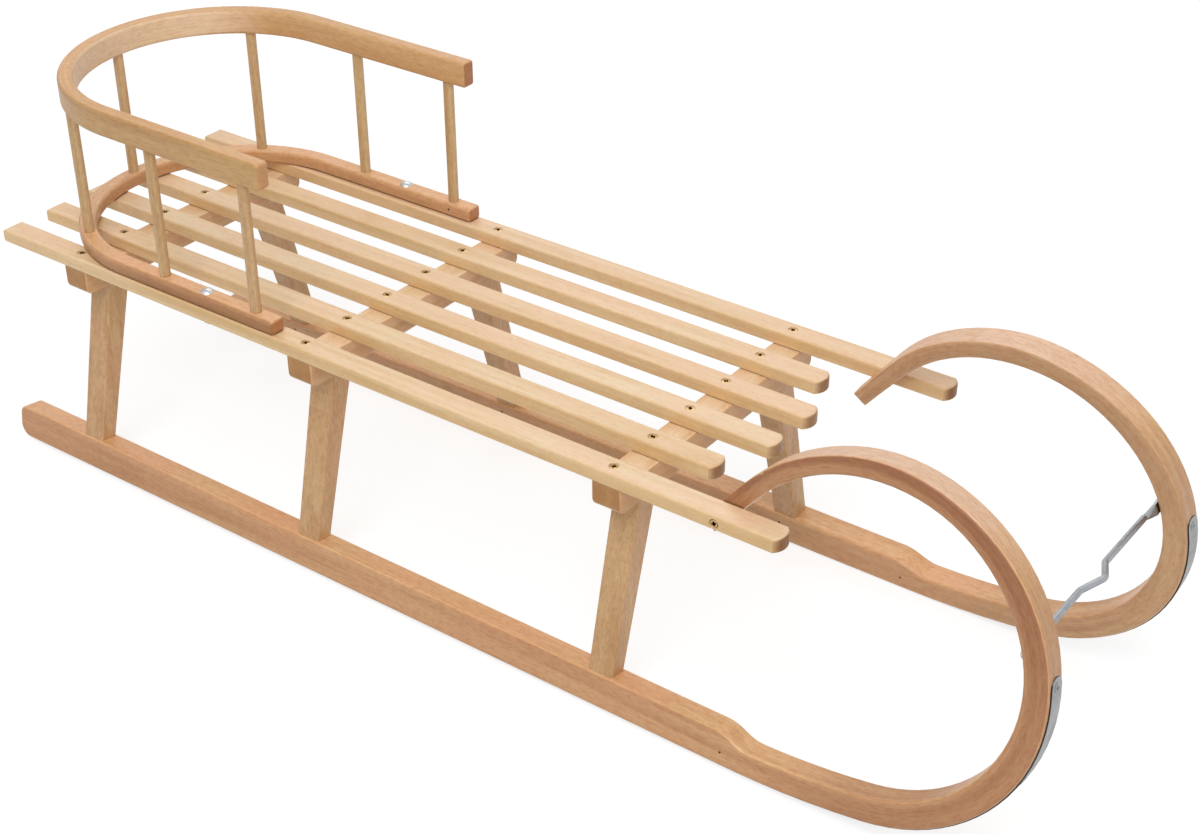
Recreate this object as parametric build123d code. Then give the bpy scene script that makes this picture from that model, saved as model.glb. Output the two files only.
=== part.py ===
from build123d import *
import os
from math import ceil, cos, degrees, radians, sin, sqrt

# Wooden sled with bent runner horns and a bentwood backrest, as separate
# pieces. Frame: +X forward, +Y the sled's left, +Z up; the origin lies on
# the ground, half way along the length and the width. All sizes in mm.

# Whole sled
REAR_X = -601.0
SEAT_Z = 250.7

# Bent runner: straight rail, step, then the band that curls into the horn.
# Each arc of the band is a radius and a turn in degrees; its thickness is
# given along the way, from 0 at the step to 1 at the tip.
RUNNER_Y = 162.5
RUNNER_LEAN = 8.5
RUNNER_W = 26.0
RAIL_H = 34.5
STEP_X = 311.0
STEP_END_X = 350.0
BEND_X = 331.0
BEND_ARCS = ((758.0, 9.8), (154.5, 136.0), (147.0, 46.7), (160.0, 38.6))
TAIL_L = 64.0
BAND_THICKNESS = ((0.0, 24.0), (0.3, 26.0), (0.6, 19.5), (1.0, 15.5))
BAND_STATION = 35.0
RUNNER_ROUND = 3.0
NOSE_TOP_R = 8.0
NOSE_SOLE_R = 15.0

# Steel shoe under each runner, let into a groove in its sole
SHOE_W = 18.0
SHOE_T = 2.0
SHOE_LET_IN = 0.8
SHOE_TIP_FLAT = 1.0
SHOE_REAR = 20.0
SHOE_REAR_CLIP = 4.0
SHOE_END_HEADING = 102.0

# Seat slats
SLAT_PITCH = 58.0
SLAT_W = 25.0
SLAT_T = 14.0
SLAT_REAR_X = -593.0
SLAT_NOSE_R = 16.0
SLAT_ROUND = 3.0
SLAT_EDGE = 1.5
SLATS = (
    ("inner", 0.5, 281.0),
    ("middle", 1.5, 258.5),
    ("outer", 2.5, 359.5),
)

# Cross beams
BEAMS = (("front", 186.0), ("middle", -173.5), ("rear", -486.0))
BEAM_W = 31.0
BEAM_H = 27.0
BEAM_HALF = 157.0
BEAM_END_R = 9.0
BEAM_ROUND = 2.0

# Splayed legs
LEG_TOP_X = 28.0
LEG_FOOT_X = 26.0
LEG_TOP_Y = 113.3
LEG_TOP_T = 28.5
LEG_FOOT_T = 20.5
LEG_ROUND = 3.0
TENON_X = 16.0
TENON_T = 12.0
TENON_FOOT = 22.0
TENON_HEAD = 17.0

# Backrest
HOOP_R = 147.0
HOOP_CENTRE_X = -416.5
HOOP_FRONT_X = -206.0
TOP_HOOP_W = 16.0
TOP_HOOP_Z = 400.7
TOP_HOOP_H = 27.0
LOW_HOOP_W = 18.0
LOW_HOOP_H = 15.0
HOOP_ROUND = 3.5
SPINDLE_D = 11.0
SPINDLE_FRONT_X = -234.5
SPINDLE_MIDDLE_X = -358.5
SPINDLE_REAR_TURN = 58.6
SPINDLE_IN_LOW = 10.0
SPINDLE_IN_TOP = 16.0
SPINDLE_EASE = 1.0

# Backrest bolts
BOLT_X = -300.5
BOLT_D = 6.0
BOLT_HEAD_D = 14.0
BOLT_HEAD_H = 3.4
BOLT_TIP = 1.0
BOLT_TIP_CHAMFER = 0.7
NUT_SIZE = 10.0
NUT_H = 3.2
WASHER_D = 16.0
WASHER_T = 1.2

# Draw rod between the two loops
ROD_D = 6.0
ROD_TURN = 97.4
ROD_CRANK = 4.5
ROD_DIP_HALF = 24.0
ROD_DIP_X = 10.5
ROD_DIP_Z = 3.0
ROD_BEND_R = 8.0
TONGUE_W = 11.0
TONGUE_T = 2.6
TONGUE_IN = 16.0
ROD_NECK = 12.0
ROD_SCREW_D = 4.5

# Wood screws
SCREW_HEAD_D = 9.0
SCREW_SHANK_D = 4.2
SCREW_SINK = 0.4
HORN_SCREW_X = 296.5
HORN_SCREW_Z = 242.7
HORN_CUT_L = 150.0
HORN_CUT_W = 100.0
HORN_CUT_H = 120.0

# Clearances
TENON_GAP = 0.1
TENON_END_GAP = 1.0
BORE_GAP = 0.1
BOLT_GAP = 0.2
BORE_END_GAP = 0.5
HEAD_GAP = 0.3
SHOE_GAP = 0.35
TONGUE_GAP = 0.25

SLAT_Z = SEAT_Z - SLAT_T
BEAM_Z = SLAT_Z - BEAM_H
SLAT_INNER_FACE = 2.5 * SLAT_PITCH - SLAT_W / 2
LEAN = radians(RUNNER_LEAN)
SHOE_PROUD = SHOE_T - SHOE_LET_IN
RUNNER_LIFT = SHOE_PROUD * cos(LEAN) + SHOE_W / 2 * sin(LEAN)
RAIL_TOP_Y = RUNNER_Y - RAIL_H * sin(LEAN)
RAIL_TOP_Z = RUNNER_LIFT + RAIL_H * cos(LEAN)


def save(shape, name):
    """Write one piece as its own named file."""
    export_step(shape, "parts/" + name + ".step")


def save_pair(shape, name):
    """Write a left piece and its mirror image on the right."""
    save(shape, name + "_left")
    save(mirror(shape, about=Plane.XZ), name + "_right")


def runner_plane():
    """The left runner's own plane: x forward, y up the lean, z inwards."""
    return Plane(
        origin=(0, RUNNER_Y, RUNNER_LIFT),
        x_dir=(1, 0, 0),
        z_dir=(0, -cos(LEAN), -sin(LEAN)),
    )


def band_thickness(share):
    """The band's thickness at a share of its length."""
    for (near, thin), (far, thick) in zip(BAND_THICKNESS, BAND_THICKNESS[1:]):
        if share <= far:
            return thin + (thick - thin) * (share - near) / (far - near)
    return BAND_THICKNESS[-1][1]


def band_stations():
    """Middle point, heading and thickness at each station of the band."""
    length = TAIL_L + sum(radius * radians(turn) for radius, turn in BEND_ARCS)
    point = Vector(BEND_X, band_thickness(0) / 2)
    heading = Vector(1, 0)
    stations = [(point, heading, band_thickness(0))]
    run = 0
    for radius, turn in BEND_ARCS:
        arc = JernArc(point, heading, radius, turn)
        count = ceil(turn / BAND_STATION)
        for step in range(1, count + 1):
            share = step / count
            thick = band_thickness((run + share * arc.length) / length)
            stations.append((arc @ share, arc % share, thick))
        run += arc.length
        point = arc @ 1
        heading = arc % 1
    stations.append((point + heading * TAIL_L, heading, band_thickness(1)))
    return stations


def band_edge(side):
    """The band's sole (-1) or crown (1): tangent arcs from the rail to the tip."""
    corners = []
    for point, way, thick in band_stations():
        across = Vector(-way.Y, way.X)
        corners.append(point + across * (side * thick / 2))
    arcs = []
    heading = Vector(1, 0)
    for start, end in zip(corners, corners[1:]):
        arc = TangentArc(start, end, tangent=heading)
        arcs.append(arc)
        heading = arc % 1
    return arcs


def rail_nose():
    """The rounded rear end of the straight rail."""
    top = (REAR_X + NOSE_TOP_R, RAIL_H)
    foot = (REAR_X + NOSE_SOLE_R, 0)
    lines = RadiusArc((REAR_X, RAIL_H - NOSE_TOP_R), top, NOSE_TOP_R)
    lines += Line((REAR_X, NOSE_SOLE_R), (REAR_X, RAIL_H - NOSE_TOP_R))
    lines += RadiusArc(foot, (REAR_X, NOSE_SOLE_R), NOSE_SOLE_R)
    return lines


def runner_profile():
    """The side outline of one runner, from its rear nose to the horn's tip."""
    sole = band_edge(-1)
    crown = band_edge(1)
    share = (STEP_END_X - BEND_X) / crown[0].length
    step_end = crown[0] @ share
    step_way = crown[0] % share
    rest = TangentArc(step_end, crown[0] @ 1, tangent=step_way)
    lines = rail_nose() + Line((REAR_X + NOSE_SOLE_R, 0), (BEND_X, 0))
    lines += sole
    lines += Line(sole[-1] @ 1, crown[-1] @ 1)
    lines += crown[1:]
    lines += rest
    lines += Spline((STEP_X, RAIL_H), step_end, tangents=((1, 0), step_way))
    lines += Line((REAR_X + NOSE_TOP_R, RAIL_H), (STEP_X, RAIL_H))
    return make_face(lines)


def foot_box(gap, end_gap):
    """The tenon that joins a leg to the runner, about x = 0."""
    depth = TENON_FOOT + end_gap
    block = Box(TENON_X + 2 * gap, depth, TENON_T + 2 * gap)
    return runner_plane() * Pos(0, RAIL_H - depth / 2, 0) * block


def head_box(gap, end_gap):
    """The tenon that joins a leg to the cross beam, about x = 0."""
    depth = TENON_HEAD + end_gap
    block = Box(TENON_X + 2 * gap, TENON_X + 2 * gap, depth)
    return Pos(0, LEG_TOP_Y, BEAM_Z + depth / 2) * block


def strip_edge(out, gap):
    """The strip's line along the sole, out from the wood, lengthened by a gap."""
    lines = [Line((REAR_X + SHOE_REAR - gap, -out), (BEND_X, -out))]
    end = SHOE_END_HEADING + degrees(gap / BEND_ARCS[1][0])
    heading = 0
    for arc in band_edge(-1):
        turn = degrees(arc.length / arc.radius)
        share = min(1, (end - heading) / turn)
        start = lines[-1] @ 1
        lines.append(JernArc(start, arc % 0, arc.radius + out, share * turn))
        heading += share * turn
        if share < 1:
            return lines
    return lines


def strip_corners(bar, thick, half):
    """The short corner edges at a flat strip's ends, from rear to front."""
    corners = bar.edges().filter_by(
        lambda e: abs(e.length - thick) < 0.01
        and abs(abs(e.center().Z) - half) < 0.01
    )
    return corners.sort_by(Axis.X)


def strip(inner, outer, gap):
    """A strip along the left sole between two depths, rounded at its tip."""
    near = strip_edge(inner, gap)
    far = strip_edge(outer, gap)
    lines = Line(near[0] @ 0, far[0] @ 0) + Line(near[-1] @ 1, far[-1] @ 1)
    lines += near
    lines += far
    half = SHOE_W / 2 + gap
    bar = extrude(make_face(lines), half, both=True)
    tip = strip_corners(bar, outer - inner, half)[2:]
    bar = fillet(tip, half - SHOE_TIP_FLAT / 2)
    rear = strip_corners(bar, outer - inner, half)
    return runner_plane() * chamfer(rear, SHOE_REAR_CLIP)


def shoe():
    """The flat steel strip under the runner and up the front of its curl."""
    return strip(-SHOE_LET_IN, SHOE_PROUD, 0)


def runner():
    """One bent runner with its planed horn end and three mortises."""
    flat = extrude(runner_profile(), RUNNER_W / 2, both=True)
    sides = flat.edges().filter_by(
        lambda e: abs(abs(e.center().Z) - RUNNER_W / 2) < 0.01
    )
    solid = runner_plane() * fillet(sides, RUNNER_ROUND)
    beside_slat = Pos(HORN_SCREW_X, SLAT_INNER_FACE + HORN_CUT_W / 2, SEAT_Z)
    solid -= beside_slat * Box(HORN_CUT_L, HORN_CUT_W, HORN_CUT_H)
    solid -= strip(-SHOE_LET_IN, SHOE_T, SHOE_GAP)
    for _, x in BEAMS:
        solid -= Pos(x, 0, 0) * foot_box(TENON_GAP, TENON_END_GAP)
    return solid


def leg_front_view():
    """The leg seen from the front: splayed, and thinner at its foot."""
    foot_z = RAIL_TOP_Z - RUNNER_W
    splay = (RAIL_TOP_Y - LEG_TOP_Y) / (BEAM_Z - RAIL_TOP_Z)
    foot_y = RAIL_TOP_Y + RUNNER_W * splay
    return Polyline(
        (LEG_TOP_Y - LEG_TOP_T / 2, BEAM_Z),
        (LEG_TOP_Y + LEG_TOP_T / 2, BEAM_Z),
        (foot_y + LEG_FOOT_T / 2, foot_z),
        (foot_y - LEG_FOOT_T / 2, foot_z),
        close=True,
    )


def leg_side_view():
    """The leg seen from the side: upright, and narrower at its foot."""
    foot_z = RAIL_TOP_Z - RUNNER_W
    return Polyline(
        (-LEG_TOP_X / 2, BEAM_Z),
        (LEG_TOP_X / 2, BEAM_Z),
        (LEG_FOOT_X / 2, foot_z),
        (-LEG_FOOT_X / 2, foot_z),
        close=True,
    )


def leg():
    """One splayed leg with a tenon at each end, about x = 0."""
    wide = 2 * RUNNER_Y
    front = extrude(Plane.YZ * make_face(leg_front_view()), wide, both=True)
    side = extrude(Plane.XZ * make_face(leg_side_view()), wide, both=True)
    post = front & side
    height = BEAM_Z - RAIL_TOP_Z
    post = fillet(post.edges().filter_by(lambda e: e.length > height), LEG_ROUND)
    rail_top = Plane(
        origin=(0, RAIL_TOP_Y, RAIL_TOP_Z),
        x_dir=(1, 0, 0),
        z_dir=(0, -sin(LEAN), cos(LEAN)),
    )
    post = split(post, bisect_by=rail_top, keep=Keep.TOP)
    return post + foot_box(0, 0) + head_box(0, 0)


def cross_beam():
    """One cross beam with rounded lower ends and two mortises, about x = 0."""
    outline = Rectangle(2 * BEAM_HALF, BEAM_H)
    low = outline.vertices().sort_by(Axis.Y)[:2]
    outline = fillet(low, BEAM_END_R)
    middle_z = BEAM_Z + BEAM_H / 2
    face = Plane.YZ * outline
    beam = Pos(0, 0, middle_z) * extrude(face, BEAM_W / 2, both=True)
    edges = beam.edges().filter_by(
        lambda e: abs(abs(e.center().X) - BEAM_W / 2) < 0.01
    )
    beam = fillet(edges, BEAM_ROUND)
    mortise = head_box(TENON_GAP, TENON_END_GAP)
    return beam - mortise - mirror(mortise, about=Plane.XZ)


def screw_hole(depth):
    """A countersunk screw hole of a given depth, mouth up at the origin."""
    head = SCREW_HEAD_D / 2 + HEAD_GAP
    shank = SCREW_SHANK_D / 2
    profile = Polyline(
        (0, depth),
        (head, depth),
        (head, -SCREW_SINK),
        (shank, -SCREW_SINK - (head - shank)),
        (shank, -depth),
        (0, -depth),
        close=True,
    )
    return revolve(Plane.XZ * make_face(profile), Axis.Z)


def slat(place, tip_x):
    """One seat slat with a rounded nose and a screw hole over each beam."""
    half = SLAT_W / 2
    shoulder = tip_x - SLAT_NOSE_R + sqrt(SLAT_NOSE_R**2 - half**2)
    lines = Polyline(
        (shoulder, half), (SLAT_REAR_X, half), (SLAT_REAR_X, -half), (shoulder, -half)
    )
    lines += ThreePointArc((shoulder, -half), (tip_x, 0), (shoulder, half))
    board = Pos(0, 0, SLAT_Z) * extrude(make_face(lines), SLAT_T)
    board = fillet(board.faces().sort_by(Axis.Z)[-1].edges(), SLAT_ROUND)
    board = fillet(board.faces().sort_by(Axis.Z)[0].edges(), SLAT_EDGE)
    for _, x in BEAMS:
        board -= Pos(x, 0, SEAT_Z) * screw_hole(2 * SLAT_T)
    return Pos(0, place * SLAT_PITCH, 0) * board


def outer_slat(place, tip_x):
    """An outer slat, drilled for the backrest bolt and the horn's screw."""
    board = slat(place, tip_x)
    bolt = Cylinder(BOLT_D / 2 + BOLT_GAP, 4 * SLAT_T)
    board -= Pos(BOLT_X, HOOP_R, SLAT_Z) * bolt
    outside = place * SLAT_PITCH + SLAT_W / 2
    across = Pos(HORN_SCREW_X, outside, HORN_SCREW_Z) * Rot(-90, 0, 0)
    return board - across * screw_hole(2 * SLAT_W)


def hoop(width, low, height):
    """One U-shaped bentwood hoop lying level, with softened edges."""
    outer = HOOP_R + width / 2
    inner = HOOP_R - width / 2
    back = HOOP_CENTRE_X
    front = HOOP_FRONT_X
    lines = Polyline((back, outer), (front, outer), (front, inner), (back, inner))
    lines += ThreePointArc((back, inner), (back - inner, 0), (back, -inner))
    lines += Polyline(
        (back, -inner), (front, -inner), (front, -outer), (back, -outer)
    )
    lines += ThreePointArc((back, -outer), (back - outer, 0), (back, outer))
    bar = Pos(0, 0, low) * extrude(make_face(lines), height)
    return fillet(bar.edges(), HOOP_ROUND)


def spindle_places():
    """Name and position of each backrest spindle, from front to rear."""
    turn = radians(SPINDLE_REAR_TURN)
    rear_x = HOOP_CENTRE_X - HOOP_R * cos(turn)
    rear_y = HOOP_R * sin(turn)
    places = []
    for side, sign in (("left", 1), ("right", -1)):
        places.append(("front_" + side, SPINDLE_FRONT_X, sign * HOOP_R))
        places.append(("middle_" + side, SPINDLE_MIDDLE_X, sign * HOOP_R))
        places.append(("rear_" + side, rear_x, sign * rear_y))
    places.append(("rear_centre", HOOP_CENTRE_X - HOOP_R, 0))
    return places


def spindle():
    """One round spindle with eased ends, about x = y = 0."""
    foot = SEAT_Z + LOW_HOOP_H - SPINDLE_IN_LOW
    head = TOP_HOOP_Z + SPINDLE_IN_TOP
    half = SPINDLE_D / 2
    profile = Polyline(
        (0, foot),
        (half - SPINDLE_EASE, foot),
        (half, foot + SPINDLE_EASE),
        (half, head - SPINDLE_EASE),
        (half - SPINDLE_EASE, head),
        (0, head),
        close=True,
    )
    return revolve(Plane.XZ * make_face(profile), Axis.Z)


def spindle_bore(low, high):
    """A blind bore for a spindle's end, between two heights."""
    bore = Cylinder(SPINDLE_D / 2 + BORE_GAP, high - low)
    return Pos(0, 0, (low + high) / 2) * bore


def top_hoop():
    """The backrest's top rail, bored from below for the spindles."""
    bar = hoop(TOP_HOOP_W, TOP_HOOP_Z, TOP_HOOP_H)
    end = TOP_HOOP_Z + SPINDLE_IN_TOP + BORE_END_GAP
    for _, x, y in spindle_places():
        bar -= Pos(x, y, 0) * spindle_bore(SEAT_Z, end)
    return bar


def low_hoop():
    """The backrest's foot rail, bored for the spindles and the two bolts."""
    bar = hoop(LOW_HOOP_W, SEAT_Z, LOW_HOOP_H)
    floor = SEAT_Z + LOW_HOOP_H - SPINDLE_IN_LOW - BORE_END_GAP
    for _, x, y in spindle_places():
        bar -= Pos(x, y, 0) * spindle_bore(floor, TOP_HOOP_Z)
    for sign in (1, -1):
        bore = Cylinder(BOLT_D / 2 + BOLT_GAP, 4 * LOW_HOOP_H)
        bar -= Pos(BOLT_X, sign * HOOP_R, SEAT_Z) * bore
    return bar


def bolt():
    """A domed carriage bolt, set down from the top of the foot rail."""
    top = SEAT_Z + LOW_HOOP_H
    foot = SLAT_Z - WASHER_T - NUT_H - BOLT_TIP
    head = BOLT_HEAD_D / 2
    dome_r = (head**2 + BOLT_HEAD_H**2) / (2 * BOLT_HEAD_H)
    dome = Pos(0, 0, top + BOLT_HEAD_H - dome_r) * Sphere(dome_r)
    dome = split(dome, bisect_by=Plane.XY.offset(top), keep=Keep.TOP)
    neck = top + BOLT_HEAD_H / 2
    shank = Pos(0, 0, (neck + foot) / 2) * Cylinder(BOLT_D / 2, neck - foot)
    tip = shank.edges().sort_by(Axis.Z)[0]
    return Pos(BOLT_X, HOOP_R, 0) * (dome + chamfer(tip, BOLT_TIP_CHAMFER))


def nut():
    """The hexagon nut and its washer under the slat."""
    low = SLAT_Z - WASHER_T - NUT_H
    hexagon = RegularPolygon(NUT_SIZE / 2, 6, major_radius=False)
    body = Pos(0, 0, low) * extrude(hexagon, NUT_H)
    washer = Pos(0, 0, SLAT_Z - WASHER_T / 2) * Cylinder(WASHER_D / 2, WASHER_T)
    bore = Pos(0, 0, SLAT_Z) * Cylinder(BOLT_D / 2 + BOLT_GAP, 4 * NUT_H)
    return Pos(BOLT_X, HOOP_R, 0) * (body + washer - bore)


def rod_seat():
    """Where the rod's flattened end lies on the inside of the left curl."""
    (first_r, first_turn), (radius, turn) = BEND_ARCS[:2]
    start, heading, _ = band_stations()[1]
    arc = JernArc(start, heading, radius, turn)
    run = first_r * radians(first_turn) + radius * radians(ROD_TURN)
    length = TAIL_L + sum(r * radians(t) for r, t in BEND_ARCS)
    point = arc @ (ROD_TURN / turn)
    way = arc % (ROD_TURN / turn)
    inward = Vector(-way.Y, way.X)
    off = band_thickness(run / length) / 2 + TONGUE_GAP + TONGUE_T / 2
    point += inward * off
    plane = runner_plane()
    origin = plane.from_local_coords((point.X, point.Y, 0))
    lift = Vector(inward.X, 0, 0) + plane.y_dir * inward.Y
    return Plane(origin=origin, x_dir=plane.z_dir, z_dir=lift)


def draw_rod():
    """The steel rod between the loops, with a kink for the tow line."""
    seat = rod_seat()
    plate = Circle(TONGUE_W / 2)
    plate += Pos(TONGUE_IN / 2, 0) * Rectangle(TONGUE_IN, TONGUE_W)
    plate -= Circle(ROD_SCREW_D / 2)
    tongue = seat * extrude(plate, TONGUE_T / 2, both=True)
    root = Plane(
        origin=seat.from_local_coords((TONGUE_IN, 0, 0)),
        x_dir=seat.y_dir,
        z_dir=seat.x_dir,
    )
    end = seat.from_local_coords((TONGUE_IN + ROD_NECK, 0, ROD_CRANK))
    x, y, z = end.X, end.Y, end.Z
    start = Plane(origin=(x, y, z), x_dir=seat.y_dir, z_dir=(0, -1, 0))
    neck = loft([root * Rectangle(TONGUE_W, TONGUE_T), start * Circle(ROD_D / 2)])
    half = tongue + neck
    path = FilletPolyline(
        (x, y, z),
        (x, ROD_DIP_HALF, z),
        (x + ROD_DIP_X, 0, z + ROD_DIP_Z),
        (x, -ROD_DIP_HALF, z),
        (x, -y, z),
        radius=ROD_BEND_R,
    )
    bar = sweep(start * Circle(ROD_D / 2), path=path)
    return bar + half + mirror(half, about=Plane.XZ)


def main():
    """Build every piece once and write it."""
    os.makedirs("parts", exist_ok=True)
    save_pair(runner(), "runner")
    save_pair(shoe(), "runner_shoe")
    for name, x in BEAMS:
        save(Pos(x, 0, 0) * cross_beam(), "cross_beam_" + name)
        save_pair(Pos(x, 0, 0) * leg(), "leg_" + name)
    for name, place, tip_x in SLATS:
        make = outer_slat if name == "outer" else slat
        save_pair(make(place, tip_x), "slat_" + name)
    save(top_hoop(), "backrest_top_hoop")
    save(low_hoop(), "backrest_foot_hoop")
    for name, x, y in spindle_places():
        save(Pos(x, y, 0) * spindle(), "spindle_" + name)
    save_pair(bolt(), "backrest_bolt")
    save_pair(nut(), "backrest_nut")
    save(draw_rod(), "draw_rod")


main()
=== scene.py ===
# %% [markdown]
# # A wooden sled in beech and steel
# The sled arrives as a finished frame: every slat, leg, runner, hoop, bolt and
# steel strip is a solid of its own, already in its place, in metres. Here it
# gets its looks. We give each kind of wood and steel its own finish, add the
# screws and pins that are too small for the frame, and set up the light.

# %% Load the frame
from math import cos, pi, radians, sin

import bmesh
import bpy
from mathutils import Matrix, Quaternion, Vector
from mathutils.bvhtree import BVHTree


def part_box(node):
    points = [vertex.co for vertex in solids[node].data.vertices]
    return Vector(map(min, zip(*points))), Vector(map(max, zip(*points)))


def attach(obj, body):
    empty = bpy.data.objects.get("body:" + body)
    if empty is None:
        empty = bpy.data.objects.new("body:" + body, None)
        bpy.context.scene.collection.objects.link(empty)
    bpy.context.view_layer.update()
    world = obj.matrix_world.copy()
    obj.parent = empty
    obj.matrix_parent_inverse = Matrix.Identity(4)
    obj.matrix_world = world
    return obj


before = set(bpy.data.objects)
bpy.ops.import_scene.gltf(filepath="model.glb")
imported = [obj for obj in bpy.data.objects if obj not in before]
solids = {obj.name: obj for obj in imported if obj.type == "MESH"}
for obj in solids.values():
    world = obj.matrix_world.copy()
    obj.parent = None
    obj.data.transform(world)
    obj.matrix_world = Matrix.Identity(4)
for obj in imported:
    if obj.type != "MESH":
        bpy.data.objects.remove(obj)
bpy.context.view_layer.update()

# %% [markdown]
# ## The camera
# A sled is long and low, so it is looked at from above, from its right front.
# A camera is easiest to read when its place, its aim and its tilt are three
# separate values: we aim its -Z axis at a point just below the middle of the
# seat, then turn it about that axis for the last third of a degree.

# %% Camera
CAMERA_PLACE = Vector((1.0355, -1.312, 1.2077))
CAMERA_AIM = Vector((0.0874, -0.0314, 0.2058))
CAMERA_ROLL = radians(-0.33)
CAMERA_LENS = 60.81
CAMERA_SENSOR = 36

camera = bpy.data.objects.new("camera", bpy.data.cameras.new("camera"))
bpy.context.scene.collection.objects.link(camera)
camera.data.lens = CAMERA_LENS
camera.data.sensor_width = CAMERA_SENSOR
camera.location = CAMERA_PLACE
aim = (CAMERA_AIM - CAMERA_PLACE).to_track_quat("-Z", "Y")
camera.rotation_mode = "QUATERNION"
camera.rotation_quaternion = aim @ Quaternion((0, 0, 1), CAMERA_ROLL)
bpy.context.scene.camera = camera
bpy.context.scene.view_settings.view_transform = "Standard"
print("camera is", round((CAMERA_AIM - CAMERA_PLACE).length, 2), "m away")

# %% [markdown]
# ## Small helpers for finishes
# A finish is a small net of nodes. These helpers keep each net short: `node`
# adds one node and fills its sockets with values or links, and the others name
# the few steps that every wood and steel below uses.

# %% Node helpers
def node(tree, kind, inputs=(), **settings):
    """Adds one shader node, sets its options, and fills or links its sockets."""
    made = tree.nodes.new("ShaderNode" + kind)
    for name, value in settings.items():
        setattr(made, name, value)
    for name, value in dict(inputs).items():
        if isinstance(value, bpy.types.NodeSocket):
            tree.links.new(value, made.inputs[name])
        else:
            made.inputs[name].default_value = value
    return made


def maths(tree, operation, *values):
    """One Math node: ADD, MULTIPLY, MAXIMUM and so on."""
    return node(tree, "Math", enumerate(values), operation=operation).outputs[0]


def vector_maths(tree, operation, *values):
    """One Vector Math node, whose result is a vector."""
    return node(tree, "VectorMath", enumerate(values), operation=operation).outputs["Vector"]


def combine(tree, along, across, through):
    """Packs three sockets or values into one vector."""
    return node(tree, "CombineXYZ", {0: along, 1: across, 2: through}).outputs[0]


def dot_of(tree, first, second):
    """The dot product of two vectors."""
    made = node(tree, "VectorMath", {0: first, 1: second}, operation="DOT_PRODUCT")
    return made.outputs["Value"]


def length_of(tree, first, second):
    """The length of the flat vector that has these two sides."""
    made = node(tree, "VectorMath", {0: combine(tree, first, second, 0.0)}, operation="LENGTH")
    return made.outputs["Value"]


def fade(tree, value, start, end, low=0.0, high=1.0):
    """Eases from low to high while value goes from start to end."""
    sockets = {0: value, 1: start, 2: end, 3: low, 4: high}
    made = node(tree, "MapRange", sockets, interpolation_type="SMOOTHSTEP")
    return made.outputs[0]


print("maths helpers are ready")

# %% [markdown]
# A Mix node has separate sockets for numbers, vectors and colours, all with
# the same names, so we reach them by their order: vectors are 4 and 5, and
# colours are 6 and 7. Colours are written as a screen shows them, from 0 to
# 255, because that is how one reads them off a sample of wood.

# %% Colour and pattern helpers
def tint(tree, share, under, over, blend="MIX"):
    """Lays one colour over another by a share from 0 to 1."""
    sockets = {0: share, 6: under, 7: over}
    made = node(tree, "Mix", sockets, data_type="RGBA", blend_type=blend)
    return made.outputs[2]


def choose(tree, share, first, second):
    """Gives the first vector where share is 0 and the second where it is 1."""
    sockets = {0: share, 4: first, 5: second}
    return node(tree, "Mix", sockets, data_type="VECTOR").outputs[1]


def noise(tree, place, stretch, detail=2.0, roughness=0.5, distortion=0.0):
    """A noise pattern with so many waves per metre along each axis."""
    scaled = node(tree, "Mapping", {"Vector": place, "Scale": stretch}).outputs[0]
    sockets = {
        "Vector": scaled,
        "Scale": 1.0,
        "Detail": detail,
        "Roughness": roughness,
        "Distortion": distortion,
    }
    return node(tree, "TexNoise", sockets).outputs[0]


def colour(red, green, blue):
    """A screen colour as the light it stands for, by the screen's own curve."""
    light = []
    for value in (red, green, blue):
        share = value / 255
        low = share / 12.92
        light.append(low if share <= 0.04045 else ((share + 0.055) / 1.055) ** 2.4)
    return (*light, 1.0)


print("middle grey is", round(colour(128, 128, 128)[0], 3), "as light")

# %% [markdown]
# ## Where the grain runs
# Wood grain follows the stick it was cut from. On a straight slat it simply
# runs along X, but the runners and the hoops were steamed and bent, and their
# grain goes round with them. Unwrapping each piece by hand would do it too.
# Here each finish starts from a grain place instead: how far a point lies
# along the stick, across it and through it. For a straight piece that is a
# swap of axes, and for a bent one it is an angle and a radius. Each also gives
# a board number, so that no two pieces show the same figure.

# %% Grain of straight pieces
SLAT_PITCH = 0.058
BEAM_RATE = 5.0
POST_ROW_RATE = 12.0
POST_SIDE_RATE = 11.0
SIDE_WEIGHT = 7.3


def object_place(tree):
    """The point's own X, Y and Z sockets, in metres."""
    place = node(tree, "TexCoord").outputs["Object"]
    return node(tree, "SeparateXYZ", {0: place}).outputs


def number_of(tree, value, rate):
    """A whole number that goes up by one each 1/rate metres."""
    return maths(tree, "ROUND", maths(tree, "MULTIPLY", value, rate))


def slat_grain(tree):
    """Slats run front to back, one every 58 mm."""
    x, y, z = object_place(tree)
    board = maths(tree, "FLOOR", maths(tree, "DIVIDE", y, SLAT_PITCH))
    return combine(tree, x, y, z), board


def beam_grain(tree):
    """Cross beams run from side to side."""
    x, y, z = object_place(tree)
    return combine(tree, y, x, z), number_of(tree, x, BEAM_RATE)


def post_grain(tree):
    """Legs and spindles stand up, and each is told apart by its place."""
    x, y, z = object_place(tree)
    row = number_of(tree, x, POST_ROW_RATE)
    side = number_of(tree, y, POST_SIDE_RATE)
    return combine(tree, z, x, y), maths(tree, "MULTIPLY_ADD", side, SIDE_WEIGHT, row)


print("slat pitch", SLAT_PITCH)

# %% [markdown]
# A hoop is two straight arms and a half circle. Measured from the middle of
# that circle, the distance stays the same all the way round, so it serves as
# the place across the stick, and the angle times the radius is the place
# along it.

# %% Grain of the hoops
HOOP_MIDDLE_X = -0.4165
HOOP_RADIUS = 0.147
HOOP_RATE = 6.0


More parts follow.
